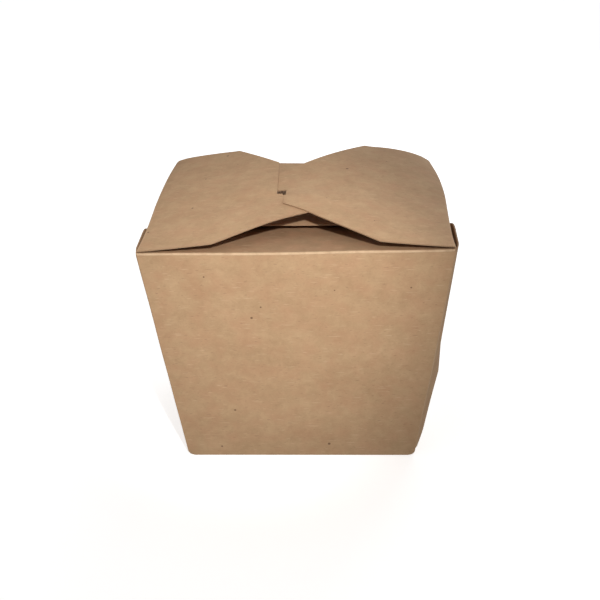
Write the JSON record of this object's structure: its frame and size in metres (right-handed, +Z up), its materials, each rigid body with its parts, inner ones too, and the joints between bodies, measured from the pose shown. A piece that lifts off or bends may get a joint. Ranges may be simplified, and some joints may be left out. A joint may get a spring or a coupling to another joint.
{
  "type": "noodle takeaway box",
  "caption": "Shut kraft board takeaway box for noodles, with flared walls, folded corner webs and interlocked lid flaps, resting on a flat base.",
  "frame": {"origin": "middle of the flat base, on the surface that the box stands on", "axes": "+Z up through the lid, -Y towards the front wall, +X along the longer side of the mouth"},
  "size_m": [0.1136, 0.0938, 0.1009],
  "materials": {
    "kraft_board": "uncoated brown kraft board, matt, with a faint fibre mottle"
  },
  "bodies": {
    "root": {"noodle_box": "kraft_board"}
  },
  "joints": []
}
